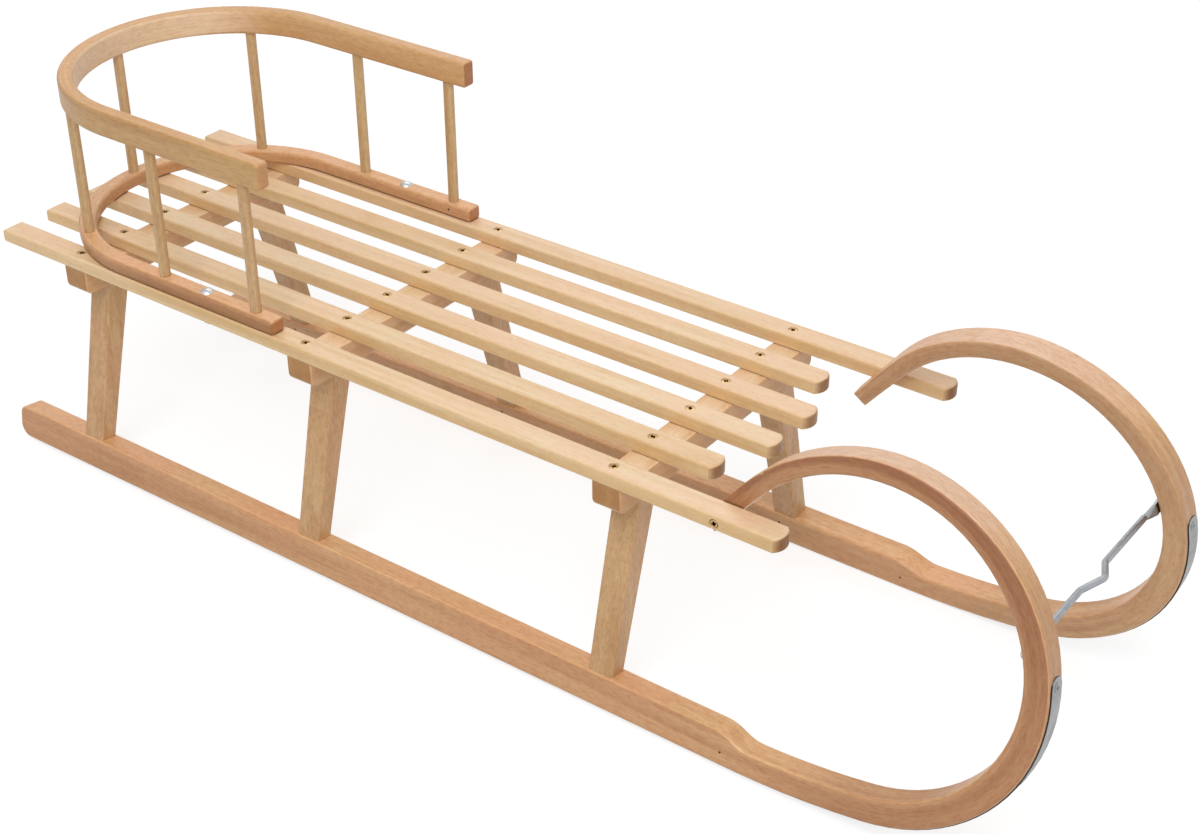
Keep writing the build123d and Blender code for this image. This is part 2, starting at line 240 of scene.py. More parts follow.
def hoop_grain(tree):
    """Follows the arms of a hoop and the bend that joins them."""
    x, y, z = object_place(tree)
    ahead = maths(tree, "SUBTRACT", x, HOOP_MIDDLE_X)
    arm = maths(tree, "MAXIMUM", ahead, 0.0)
    back = maths(tree, "MINIMUM", ahead, 0.0)
    side = maths(tree, "ABSOLUTE", y)
    turn = maths(tree, "ARCTAN2", maths(tree, "ABSOLUTE", back), side)
    along = maths(tree, "MULTIPLY_ADD", turn, -HOOP_RADIUS, arm)
    along = maths(tree, "MULTIPLY", along, maths(tree, "SIGN", y))
    radius = length_of(tree, back, side)
    return combine(tree, along, radius, z), number_of(tree, z, HOOP_RATE)


print("hoop bend", round(pi * HOOP_RADIUS, 3), "m round")

# %% [markdown]
# The runner leans outwards a little, so its height is measured up the lean.
# From the side it has three stretches: the straight rail with its gentle rise,
# the curl, which is close to one circle, and the short straight tail that ends
# at the seat. First come the sizes, and where each stretch starts.

# %% Sizes of a runner
RUNNER_LEAN = radians(8.5)
RUNNER_Y = 0.1625
RUNNER_LIFT = 0.0025
BEND_X = 0.331
RISE_RADIUS = 0.758
RISE_TURN = radians(9.8)
BAND_HALF = 0.012
CURL_RADIUS = 0.1545
HORN_TURN = radians(231.1)
RISE_FORWARD = BEND_X + RISE_RADIUS * sin(RISE_TURN)
RISE_UP = BAND_HALF + RISE_RADIUS * (1 - cos(RISE_TURN))
RISE_END = Vector((RISE_FORWARD, RISE_UP))
CURL_MIDDLE = RISE_END + CURL_RADIUS * Vector((-sin(RISE_TURN), cos(RISE_TURN)))
CROWN_ALONG = RISE_END.x + (pi - RISE_TURN) * CURL_RADIUS
TAIL_WAY = Vector((cos(HORN_TURN), sin(HORN_TURN)))
TAIL_INWARD = Vector((-sin(HORN_TURN), cos(HORN_TURN)))
TAIL_START = CURL_MIDDLE - CURL_RADIUS * TAIL_INWARD
TAIL_ALONG = CROWN_ALONG + (HORN_TURN - pi) * CURL_RADIUS - TAIL_START.dot(TAIL_WAY)
TAIL_ACROSS = BAND_HALF - TAIL_START.dot(TAIL_INWARD)
print("curl is centred at", [round(v, 3) for v in CURL_MIDDLE])

# %% [markdown]
# Each stretch gives its own grain place, and where two of them meet, one fades
# into the other over a few millimetres, so no seam shows in the figure.

# %% Grain of the runners
CURL_FROM_UP = 0.060
BLEND_REACH = 0.005
BLEND_TURN = radians(2)


def lean_place(tree):
    """How far forward, up the lean and out of the runner a point lies."""
    x, y, z = object_place(tree)
    out = maths(tree, "SUBTRACT", maths(tree, "ABSOLUTE", y), RUNNER_Y)
    up = maths(tree, "SUBTRACT", z, RUNNER_LIFT)
    leant_up = maths(tree, "MULTIPLY", up, cos(RUNNER_LEAN))
    height = maths(tree, "MULTIPLY_ADD", out, -sin(RUNNER_LEAN), leant_up)
    leant_out = maths(tree, "MULTIPLY", up, sin(RUNNER_LEAN))
    depth = maths(tree, "MULTIPLY_ADD", out, cos(RUNNER_LEAN), leant_out)
    return x, height, depth


def rail_place(tree, x, height, depth):
    """Along the rail, whose rise is close to a parabola."""
    past = maths(tree, "MAXIMUM", maths(tree, "SUBTRACT", x, BEND_X), 0.0)
    rise = maths(tree, "MULTIPLY", maths(tree, "MULTIPLY", past, past), 0.5 / RISE_RADIUS)
    return combine(tree, x, maths(tree, "SUBTRACT", height, rise), depth)


def curl_place(tree, x, height, depth):
    """Round the curl, and how far round that is."""
    ahead = maths(tree, "SUBTRACT", x, CURL_MIDDLE.x)
    above = maths(tree, "SUBTRACT", height, CURL_MIDDLE.y)
    turn = maths(tree, "ARCTAN2", maths(tree, "MULTIPLY", ahead, -1.0), above)
    along = maths(tree, "MULTIPLY_ADD", turn, CURL_RADIUS, CROWN_ALONG)
    radius = length_of(tree, ahead, above)
    inward = maths(tree, "SUBTRACT", CURL_RADIUS + BAND_HALF, radius)
    return combine(tree, along, inward, depth), turn


def tail_place(tree, x, height, depth):
    """Along the straight tail of the horn."""
    point = combine(tree, x, height, 0.0)
    along = maths(tree, "ADD", dot_of(tree, point, (*TAIL_WAY, 0.0)), TAIL_ALONG)
    across = maths(tree, "ADD", dot_of(tree, point, (*TAIL_INWARD, 0.0)), TAIL_ACROSS)
    return combine(tree, along, across, depth)


def runner_grain(tree):
    """Follows a runner from its rear end round the curl to the horn."""
    x, height, depth = lean_place(tree)
    curl, turn = curl_place(tree, x, height, depth)
    tail_from = HORN_TURN - pi
    at_tail = fade(tree, turn, tail_from - BLEND_TURN, tail_from + BLEND_TURN)
    bent = choose(tree, at_tail, curl, tail_place(tree, x, height, depth))

    above = fade(tree, height, CURL_FROM_UP - BLEND_REACH, CURL_FROM_UP + BLEND_REACH)
    ahead = fade(tree, x, RISE_END.x - BLEND_REACH, RISE_END.x + BLEND_REACH)
    past_rail = maths(tree, "MAXIMUM", above, ahead)
    grain = choose(tree, past_rail, rail_place(tree, x, height, depth), bent)
    return grain, maths(tree, "SIGN", object_place(tree)["Y"])


print("tail starts at", [round(v, 3) for v in TAIL_START])

# %% [markdown]
# ## Tones and painted shade by face
# A stick's upright faces get less light than its top, and that shade is painted into their colour. One
# could paint it on, but a share from 0 to 1 that is worked out from the way a face looks needs no
# painting.
# Each function that a finish uses is given that way and the grain place,
# though only a runner's flanks need the second, and returns the share of a
# tone that a point gets. Lengths in them are metres.

# %% Which way a surface faces
FRONT_TO_BACK = (1, 0, 0)
SIDE_TO_SIDE = (0, 1, 0)
UPRIGHT = (0, 0, 1)


def along_axis(tree, facing, axis):
    """How far a face looks along an axis, either way, from 0 to 1."""
    return maths(tree, "ABSOLUTE", dot_of(tree, facing, axis))


# Painted shade: upright faces get less light than tops, so they are darkened.
def off_the_top(tree, facing, place):
    """0 on faces that look up or down, 1 on upright ones."""
    return fade(tree, along_axis(tree, facing, UPRIGHT), 0.85, 0.40)


# Painted shade on faces that look left or right. It also darkens the side edges of the steel strips.
def flanks(tree, facing, place):
    """1 on faces that look left or right."""
    return fade(tree, along_axis(tree, facing, SIDE_TO_SIDE), 0.50, 0.85)


print("up is", UPRIGHT)

# %% [markdown]
# A runner's flanks are pale along the rail and deepen where the stick was steamed and bent, most of
# all high up on the curl and along its rim: partly the steamed wood's browner tone, partly painted
# shade. The front of the curl and the inside of its foot are darkened too, as painted shade, and the
# top of the curl gets a painted sheen that makes it paler than the rest.

# %% Tones of the runners
STEAM_FROM_X = 0.30
STEAM_TO_X = 0.48


def steamed_and_shaded_flanks(tree, facing, place):
    """A runner's side faces, darker the further the curl was bent: steamed tone and painted shade."""
    x, y, z = object_place(tree)
    steamed = fade(tree, x, STEAM_FROM_X, STEAM_TO_X, 0.33, 0.57)
    raised = fade(tree, z, 0.02, 0.30, 0.45, 0.70)
    raised = maths(tree, "MULTIPLY", raised, fade(tree, z, 0.06, 0.10))
    inward = node(tree, "SeparateXYZ", {0: place}).outputs["Y"]
    rim = fade(tree, inward, 0.010, 0.002)
    rim = maths(tree, "MULTIPLY", rim, fade(tree, z, 0.12, 0.25, 0.0, 0.12))
    strength = maths(tree, "ADD", maths(tree, "MAXIMUM", steamed, raised), rim)
    return maths(tree, "MULTIPLY", flanks(tree, facing, place), strength)


def shade_on_front_of_curl(tree, facing):
    """Painted shade on the front of the curl, twice as strong on the left runner."""
    forward = fade(tree, dot_of(tree, facing, FRONT_TO_BACK), 0.60, 0.90)
    side = fade(tree, object_place(tree)["Y"], -0.01, 0.01, 0.25, 0.50)
    return maths(tree, "MULTIPLY", forward, side)


def shade_in_foot_of_curl(tree, facing):
    """Painted shade on the inside of the curl where it is nearest to the ground."""
    x, y, z = object_place(tree)
    foot = maths(tree, "MULTIPLY", fade(tree, x, 0.36, 0.46), fade(tree, z, 0.12, 0.09, 0.0, 0.45))
    return maths(tree, "MULTIPLY", foot, fade(tree, dot_of(tree, facing, UPRIGHT), 0.5, 0.8))


def steamed_and_shaded_runner_faces(tree, facing, place):
    """All the faces of a runner that are darkened: steamed tone and painted shade."""
    curl = maths(tree, "MAXIMUM", shade_on_front_of_curl(tree, facing), shade_in_foot_of_curl(tree, facing))
    return maths(tree, "MAXIMUM", steamed_and_shaded_flanks(tree, facing, place), curl)


def crown_of_curl(tree, facing, place):
    """A painted sheen that makes the top of a runner's curl paler."""
    high_up = fade(tree, object_place(tree)["Z"], 0.20, 0.30)
    return maths(tree, "MULTIPLY", high_up, fade(tree, dot_of(tree, facing, UPRIGHT), 0.60, 0.98))


print("the steamed stretch starts at x =", STEAM_FROM_X)

# %% [markdown]
# A hoop's outer face is painted darker than its top, and its inner face a little, as painted shade.
# The foot hoop is rounded towards the slats, and its painted shade grows there, darker towards the
# bottom. The inner face of the top hoop's bend looks forward into the light and gets a pale painted
# highlight.

# %% Tones of the hoops
LOW_HOOP_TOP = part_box("backrest_foot_hoop")[1].z


def shaded_faces_of_hoop(tree, facing, place):
    """Painted shade: 1 on a hoop's outer face, and less on its inner one."""
    x, y, z = object_place(tree)
    back = maths(tree, "MINIMUM", maths(tree, "SUBTRACT", x, HOOP_MIDDLE_X), 0.0)
    way = vector_maths(tree, "NORMALIZE", combine(tree, back, y, 0.0))
    outward = dot_of(tree, way, facing)
    outer = fade(tree, outward, 0.3, 0.7)
    inner = fade(tree, outward, -0.3, -0.7, 0.0, 0.35)
    return maths(tree, "ADD", outer, inner)


def shaded_faces_of_low_hoop(tree, facing, place):
    """The same painted shade, stronger towards the bottom, where the face rounds towards the slats,
    and forward of the bend.
    """
    x, y, z = object_place(tree)
    low = fade(tree, z, LOW_HOOP_TOP - 0.001, LOW_HOOP_TOP - 0.009, 0.50, 1.0)
    low = maths(tree, "MULTIPLY", low, fade(tree, x, -0.45, -0.36, 0.75, 1.0))
    return maths(tree, "MULTIPLY", shaded_faces_of_hoop(tree, facing, place), low)


def light_inside_bend(tree, facing, place):
    """Painted light on the inner face of a hoop's bend, which looks forward."""
    bend = fade(tree, object_place(tree)["X"], HOOP_MIDDLE_X, HOOP_MIDDLE_X - 0.06)
    forward = fade(tree, dot_of(tree, facing, FRONT_TO_BACK), 0.30, 0.80, 0.0, 0.95)
    return maths(tree, "MULTIPLY", bend, forward)


print("the foot hoop's top is at", round(LOW_HOOP_TOP, 4))

# %% [markdown]
# Cut ends drink the varnish and turn darker. Which faces are cut ends depends
# on the way the stick runs, and on a bent stick also on the place, because its
# bend looks forward or back as well without being an end.

# %% Sawn ends
HOOP_FRONT_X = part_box("backrest_top_hoop")[1].x
RUNNER_REAR_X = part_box("runner_left")[0].x


def ends_along(tree, facing):
    """1 on faces that look forward or back."""
    return fade(tree, along_axis(tree, facing, FRONT_TO_BACK), 0.55, 0.95)


def slat_ends(tree, facing, place):
    """The noses and rear ends of the slats, darkest on the outer ones."""
    side = maths(tree, "ABSOLUTE", object_place(tree)["Y"])
    return maths(tree, "MULTIPLY", fade(tree, side, 0.04, 0.14, 0.80, 1.0), ends_along(tree, facing))


def beam_ends(tree, facing, place):
    """The sawn ends of the cross beams."""
    return fade(tree, along_axis(tree, facing, SIDE_TO_SIDE), 0.80, 0.95)


def post_ends(tree, facing, place):
    """The sawn ends of legs and spindles."""
    return fade(tree, along_axis(tree, facing, UPRIGHT), 0.80, 0.95)


def hoop_ends(tree, facing, place):
    """The front ends of a hoop's arms, and not the bend at its back."""
    x = object_place(tree)["X"]
    front = fade(tree, x, HOOP_FRONT_X - 0.004, HOOP_FRONT_X - 0.002)
    return maths(tree, "MULTIPLY", front, ends_along(tree, facing))


def top_hoop_ends(tree, facing, place):
    """The same, and four times as strong on the left as on the right."""
    side = fade(tree, object_place(tree)["Y"], -0.05, 0.05, 0.25, 1.0)
    return maths(tree, "MULTIPLY", hoop_ends(tree, facing, place), side)


def runner_ends(tree, facing, place):
    """The rear nose of a runner, and not the front of its curl."""
    x = object_place(tree)["X"]
    rear = fade(tree, x, RUNNER_REAR_X + 0.012, RUNNER_REAR_X + 0.004)
    return maths(tree, "MULTIPLY", rear, ends_along(tree, facing))


print("ends are cut at x =", round(HOOP_FRONT_X, 4), "and", round(RUNNER_REAR_X, 4))

# %% [markdown]
# ## Beech
# Beech is a pale, even wood. Look closely and it shows a few things: faint
# growth bands along the stick, slow drifts from yellowish to pinkish, fine
# fibres, a soft mottle, and the short dark dashes that are called ray flecks,
# in two sizes. Each is a noise pattern, stretched along the grain. The fibres
# and flecks also move the surface by a hair. A scan of a board would look as
# real, but it would repeat, and it couldn't follow a bend. Noise lies mostly
# between 0.3 and 0.7, so each pattern fades in over a part of that.

# %% Figure of the wood
LOG_REACH = (9, 9, 9)
GROWTH_WAVES = (1.6, 55.0, 55.0)
DRIFT_WAVES = (8.0, 16.0, 16.0)
FIBRE_WAVES = (14.0, 620.0, 620.0)
MOTTLE_WAVES = (110.0, 360.0, 360.0)
FLECK_WAVES = (150.0, 900.0, 900.0)
RAY_WAVES = (420.0, 2600.0, 2600.0)


def board_spot(tree, grain, seed):
    """The grain place, the same moved to the board's own log, and an odd value."""
    place, board = grain(tree)
    log = maths(tree, "ADD", board, seed)
    odd = node(tree, "TexWhiteNoise", {"W": log}, noise_dimensions="1D").outputs
    shift = vector_maths(tree, "MULTIPLY", odd["Color"], LOG_REACH)
    return place, vector_maths(tree, "ADD", place, shift), odd["Value"]


def board_tone(tree, tones, growth, drift, odd):
    """Growth bands from pale to deep, with drifts to a warmer tone."""
    shade = tint(tree, fade(tree, growth, 0.38, 0.66), tones["pale"], tones["deep"])
    shade = tint(tree, fade(tree, drift, 0.40, 0.62, 0.0, 0.75), shade, tones["warm"])
    return tint(tree, fade(tree, odd, 0.0, 1.0, 0.0, 0.40), shade, tones["warm"])


def fine_marks(tree, spot, shade, deep, figure):
    """Lays the small marks over a tone, and gives their grooves and the fibre."""
    fibre = noise(tree, spot, FIBRE_WAVES, 3.0, 0.6)
    mottle = noise(tree, spot, MOTTLE_WAVES, 2.0, 0.6)
    fleck = noise(tree, spot, FLECK_WAVES, 1.0, 0.5)
    ray = noise(tree, spot, RAY_WAVES, 1.0, 0.5)
    fibres = fade(tree, fibre, 0.42, 0.70, 0.0, 0.16)
    mottles = fade(tree, mottle, 0.40, 0.66, 0.0, 0.26 * figure)
    flecks = fade(tree, fleck, 0.60, 0.72, 0.0, 0.34 * figure)
    rays = fade(tree, ray, 0.60, 0.72, 0.0, 0.30 * figure)
    for marks in (fibres, mottles, flecks, rays):
        shade = tint(tree, marks, shade, deep, "MULTIPLY")
    grooves = maths(tree, "ADD", fibres, maths(tree, "ADD", flecks, rays))
    return shade, grooves, fibre


print("fibres are about", round(1000 / FIBRE_WAVES[1], 1), "mm apart")

# %% [markdown]
# Two small marks stand in for light and shade. The edges of the wood get a painted highlight: a Bevel
# node rounds the normal there, so it leaves the flat one. Narrow gaps, in wood and steel alike, get
# painted shade mixed with some dirt: an Ambient Occlusion node finds them, with a reach of a few
# millimetres. Both need only a few rays, because their marks are so small.

# %% Edges and crevices
EDGE_REACH = 0.0022
CREVICE_REACH = 0.0035
EDGE_RAYS = 4


def painted_edge_highlights(tree, shade, pale, facing):
    """Paints a faint highlight on the edges."""
    soft = node(tree, "Bevel", {"Radius": EDGE_REACH}, samples=EDGE_RAYS).outputs[0]
    edge = fade(tree, dot_of(tree, soft, facing), 0.995, 0.90, 0.0, 0.22)
    return tint(tree, edge, shade, pale)


def shade_and_dirt_in_gaps(tree, shade, gap_shade_and_dirt, start, end, depth):
    """Paints shade, with some dirt, into what is hidden, from one open share down to another."""
    hidden = node(tree, "AmbientOcclusion", {"Distance": CREVICE_REACH}, samples=EDGE_RAYS)
    gap = fade(tree, hidden.outputs["AO"], start, end, 0.0, depth)
    return tint(tree, gap, shade, gap_shade_and_dirt, "MULTIPLY")


def new_finish(name):
    """A new material with an empty tree."""
    finish = bpy.data.materials.new(name)
    finish.use_nodes = True
    finish.node_tree.nodes.clear()
    return finish, finish.node_tree


print("crevices darken over", CREVICE_REACH, "m")

# %% [markdown]
# Now the finish itself, from the wood's tone down to its varnish. The varnish
# is thin and satin, so it is a weak coat over a fairly rough surface, and the
# fibres make its gloss uneven.

# %% Beech finish
# The colour of the painted shade, with some dirt, in the wood's narrow gaps.
WOOD_SHADE_AND_DIRT = colour(96, 62, 40)
GROOVE_DEPTH = 0.0002
WOOD_IOR = 1.46
COAT_WEIGHT = 0.25
COAT_ROUGHNESS = 0.30


def beech(name, grain, looks, side_shade_share, end_share, crown_share=None, figure=1.0, seed=0.0):
    """A varnished beech whose grain place comes from the given helper."""
    finish, tree = new_finish(name)
    tones = {look: colour(*screen) for look, screen in looks.items()}
    place, spot, odd = board_spot(tree, grain, seed)
    facing = node(tree, "NewGeometry").outputs["Normal"]
    growth = noise(tree, spot, GROWTH_WAVES, 3.0, 0.55, 0.6)
    drift = noise(tree, spot, DRIFT_WAVES, 2.0, 0.5)

    shade = board_tone(tree, tones, growth, drift, odd)
    # Painted highlight: a sheen on the top of a curl, and light on the inside of a hoop's bend.
    if crown_share:
        shade = tint(tree, crown_share(tree, facing, place), shade, tones["crown"])
    # Painted shade: faces turned from the light are multiplied by the side and moss tones. On the
    # runners this also carries their steamed tone.
    dense = fade(tree, growth, 0.34, 0.66, 0.82, 1.12)
    sides = maths(tree, "MULTIPLY", side_shade_share(tree, facing, place), dense)
    side = tint(tree, fade(tree, drift, 0.42, 0.60), tones["side"], tones["moss"])
    shade = tint(tree, sides, shade, side, "MULTIPLY")
    shade, grooves, fibre = fine_marks(tree, spot, shade, tones["deep"], figure)
    shade = tint(tree, end_share(tree, facing, place), shade, tones["end"], "MULTIPLY")
    # Painted highlight on the edges, and painted shade with some dirt in the narrow gaps.
    shade = painted_edge_highlights(tree, shade, tones["pale"], facing)
    shade = shade_and_dirt_in_gaps(tree, shade, WOOD_SHADE_AND_DIRT, 0.50, 0.10, 0.75)

    grain_height = {"Strength": 0.5, "Distance": GROOVE_DEPTH, "Height": grooves}
    bump = node(tree, "Bump", grain_height, invert=True)
    varnished = {
        "Base Color": shade,
        "Roughness": fade(tree, fibre, 0.3, 0.7, 0.40, 0.56),
        "Normal": bump.outputs[0],
        "IOR": WOOD_IOR,
        "Coat Weight": COAT_WEIGHT,
        "Coat Roughness": COAT_ROUGHNESS,
    }
    body = node(tree, "BsdfPrincipled", varnished)
    node(tree, "OutputMaterial", {"Surface": body.outputs[0]})
    print(name, "has", len(tree.nodes), "nodes")
    return finish


print("coat weight", COAT_WEIGHT)

# %% [markdown]
# The pieces come from different boards. The slats are the palest and most yellow. The steamed runners
# and hoops are warmer, because steam reddens beech, and the right runner is the redder of the two.
# Pale, deep and warm are the wood's own tones. Side and moss are painted shade, laid over the faces
# that turn from the light, and on the runners they carry the steamed tone too. End goes over the sawn
# ends, and highlight is a painted highlight where a curl's top or a hoop's bend is paler.

# %% Wood tones
SLAT_LOOKS = {
    "pale": (242, 215, 177),
    "deep": (229, 194, 147),
    "warm": (242, 205, 168),
    "side": (242, 238, 222),
    "moss": (240, 240, 218),
    "end": (158, 115, 76),
}
BEAM_LOOKS = dict(SLAT_LOOKS, side=(232, 214, 196), moss=(228, 214, 192), end=(208, 188, 143))
LEG_LOOKS = {
    "pale": (221, 187, 137),
    "deep": (204, 163, 112),
    "warm": (221, 176, 134),
    "side": (239, 234, 230),
    "moss": (236, 238, 226),
    "end": (214, 186, 164),
}
SPINDLE_LOOKS = dict(LEG_LOOKS, pale=(220, 192, 144), deep=(204, 168, 118), warm=(220, 182, 140))
HOOP_LOOKS = {
    "pale": (224, 184, 130),
    "deep": (207, 160, 102),
    "warm": (224, 175, 124),
    "side": (228, 228, 218),
    "moss": (226, 232, 212),
    "end": (210, 176, 150),
    "crown": (254, 222, 190),
}
LOW_HOOP_LOOKS = {
    "pale": (236, 195, 146),
    "deep": (218, 171, 118),
    "warm": (236, 185, 140),
    "side": (166, 130, 64),
    "moss": (164, 134, 64),
    "end": (210, 182, 158),
}
LEFT_LOOKS = {
    "pale": (232, 189, 138),
    "deep": (217, 168, 116),
    "warm": (232, 178, 132),
    "side": (206, 206, 214),
    "moss": (204, 210, 212),
    "end": (206, 170, 146),
    "crown": (232, 194, 162),
}
RIGHT_LOOKS = dict(LEFT_LOOKS, side=(156, 108, 84), moss=(150, 118, 82))
print("a slat is", SLAT_LOOKS["pale"])

# %% [markdown]
# Each finish joins a grain, a set of tones and the faces that they lie on. The
# seed picks another log for the same kind of piece, and the figure says how
# bold its marks are.

# %% Wood finishes
runner_faces = (steamed_and_shaded_runner_faces, runner_ends, crown_of_curl)
hoop_faces = (shaded_faces_of_hoop, top_hoop_ends, light_inside_bend)
low_hoop_faces = (shaded_faces_of_low_hoop, hoop_ends)

slat_wood = beech("slat_beech", slat_grain, SLAT_LOOKS, off_the_top, slat_ends, figure=0.6)
frame_wood = beech("beam_beech", beam_grain, BEAM_LOOKS, off_the_top, beam_ends, figure=0.8, seed=13.0)
leg_wood = beech("leg_beech", post_grain, LEG_LOOKS, flanks, post_ends, seed=13.0)
spindle_wood = beech("spindle_beech", post_grain, SPINDLE_LOOKS, flanks, post_ends, seed=26.0)
hoop_wood = beech("hoop_beech", hoop_grain, HOOP_LOOKS, *hoop_faces, figure=0.8)
low_hoop_wood = beech("low_hoop_beech", hoop_grain, LOW_HOOP_LOOKS, *low_hoop_faces)
left_runner_wood = beech("left_runner_beech", runner_grain, LEFT_LOOKS, *runner_faces)
right_runner_wood = beech("right_runner_beech", runner_grain, RIGHT_LOOKS, *runner_faces, seed=52.0)
print(len(bpy.data.materials), "materials so far")

# %% [markdown]
# ## Steel
# The strips under the runners and the draw rod are galvanised: dull, pale grey steel with a faint
# patchwork of zinc crystals and fine scratches. The bolts are plated and brighter, the wood screws are
# yellow-plated, and the pins are dark. All five are one recipe with other numbers. What looks down, or
# lies on the thin edge of a strip, is painted darker, as painted shade.

# %% Steel finishes
STEEL_SHADE_AND_GRIME = colour(120, 112, 104)
CRYSTAL_SCALE = 260.0
CLOUD_WAVES = (40.0, 40.0, 40.0)
SCRATCH_WAVES = (30.0, 900.0, 900.0)
SCRATCH_DEPTH = 0.00002


def steel(name, pale, dull, rough, edge_shade_share=None, shade_below_share=0.75):
    """A metal with faint crystal patches, fine scratches, and painted shade on its undersides and in
    its gaps.
    """
    finish, tree = new_finish(name)
    place = node(tree, "TexCoord").outputs["Object"]
    facing = node(tree, "NewGeometry").outputs["Normal"]
    cells = node(tree, "TexVoronoi", {"Vector": place, "Scale": CRYSTAL_SCALE})
    patch = node(tree, "SeparateColor", {0: cells.outputs["Color"]}).outputs[0]
    worn = maths(tree, "MULTIPLY_ADD", patch, 0.20, noise(tree, place, CLOUD_WAVES, 3.0))
    shade = tint(tree, fade(tree, worn, 0.35, 0.95), colour(*pale), colour(*dull))
    # Painted shade: faces that look down, and the strip's side edges, are darkened, and so are the
    # narrow gaps.
    shade_below = fade(tree, dot_of(tree, facing, UPRIGHT), 0.3, -0.6, 0.0, shade_below_share)
    if edge_shade_share:
        shade_below = maths(tree, "MAXIMUM", shade_below, edge_shade_share(tree, facing, place))
    shade = tint(tree, shade_below, shade, STEEL_SHADE_AND_GRIME, "MULTIPLY")
    shade = shade_and_dirt_in_gaps(tree, shade, STEEL_SHADE_AND_GRIME, 0.75, 0.30, 0.7)

    height = fade(tree, noise(tree, place, SCRATCH_WAVES, 2.0), 0.45, 0.75)
    bump = node(tree, "Bump", {"Strength": 0.2, "Distance": SCRATCH_DEPTH, "Height": height})
    plated = {
        "Base Color": shade,
        "Metallic": 1.0,
        "Roughness": fade(tree, worn, 0.3, 1.0, rough - 0.04, rough + 0.06),
        "Normal": bump.outputs[0],
    }
    body = node(tree, "BsdfPrincipled", plated)
    node(tree, "OutputMaterial", {"Surface": body.outputs[0]})
    print(name, "has", len(tree.nodes), "nodes")
    return finish


# The strip gets painted shade on its side edges, and the rod strong painted shade underneath.
shoe_steel = steel("shoe_zinc", (168, 169, 170), (150, 151, 152), 0.44, flanks, 0.35)
rod_steel = steel("rod_zinc", (168, 171, 175), (146, 149, 154), 0.34, shade_below_share=0.9)
bolt_steel = steel("bolt_zinc", (204, 205, 204), (184, 185, 184), 0.32)
screw_steel = steel("screw_yellow_zinc", (216, 182, 128), (184, 146, 96), 0.36)
pin_steel = steel("pin_dark_steel", (96, 76, 60), (66, 50, 40), 0.45)

# %% [markdown]
# Each solid of the frame has one material slot, named for what it is made of.
# We swap that plain material for ours, and give the legs, the foot hoop and
# the two runners finishes of their own, because their grain or their tone is
# different.

# %% Give the frame its finishes
FINISH_OF_SLOT = {
    "slat_wood": slat_wood,
    "frame_wood": frame_wood,
    "hoop_wood": hoop_wood,
    "spindle_wood": spindle_wood,
    "shoe_steel": shoe_steel,
    "rod_steel": rod_steel,
    "bolt_steel": bolt_steel,
}
FINISH_OF_PIECE = {
    "backrest_foot_hoop": low_hoop_wood,
    "runner_left": left_runner_wood,
    "runner_right": right_runner_wood,
}
for name, piece in solids.items():
    slot = piece.material_slots[0]
    if name.startswith("leg"):
        slot.material = leg_wood
    elif name in FINISH_OF_PIECE:
        slot.material = FINISH_OF_PIECE[name]
    else:
        slot.material = FINISH_OF_SLOT[slot.material.name]
print("finishes given to", len(solids), "pieces")

# %% [markdown]
# ## Screws
# The sled is held together by cross-slot screws. Each is modelled upright at
# the origin, and starts from its slot. A 3 by 3 grid of faces loses its
# corners and becomes the cross, and the cross is pushed down to a smaller one.
# Cutting a cross out of a disc would work too, but it leaves ragged faces.

# %% Slot of a screw
SLOT_REACH = 0.0023
SLOT_HALF = 0.0008
SLOT_DEPTH = 0.0022
SLOT_TAPER = 0.55


def loose_edges(shape, verts=None):
    """The edges with a face on only one side, among some points or all."""
    edges = [edge for edge in shape.edges if len(edge.link_faces) < 2]
    return [e for e in edges if verts is None or all(v in verts for v in e.verts)]


def slot_shape(depth):
    """The cross-shaped slot, open at the top, in a new bmesh."""
    shape = bmesh.new()
    bmesh.ops.create_grid(shape, x_segments=3, y_segments=3, size=SLOT_REACH)
    for vert in shape.verts:
        for axis in (0, 1):
            if abs(vert.co[axis]) < SLOT_REACH / 2:
                vert.co[axis] = SLOT_HALF if vert.co[axis] > 0 else -SLOT_HALF
    corners = []
    for face in shape.faces:
        middle = face.calc_center_median()
        if min(abs(middle.x), abs(middle.y)) > SLOT_HALF:
            corners.append(face)
    bmesh.ops.delete(shape, geom=corners, context="FACES")
    bottom = {vert for face in shape.faces for vert in face.verts}
    bmesh.ops.extrude_edge_only(shape, edges=loose_edges(shape))
    bmesh.ops.scale(shape, vec=(SLOT_TAPER, SLOT_TAPER, 1), verts=list(bottom))
    bmesh.ops.translate(shape, vec=(0, 0, -depth), verts=list(bottom))
    return shape


print("slots are", 2 * SLOT_REACH, "m wide")

# %% [markdown]
# The mouth of the slot is bridged out to the head's rim, and the rim is drawn
# down ring by ring to the shank. So a few rings make each kind of head: a
# cone under a countersunk one, a round shoulder on a pan head.

# %% Screw maker
RING_STEPS = 24
NO_GAP = 1.0


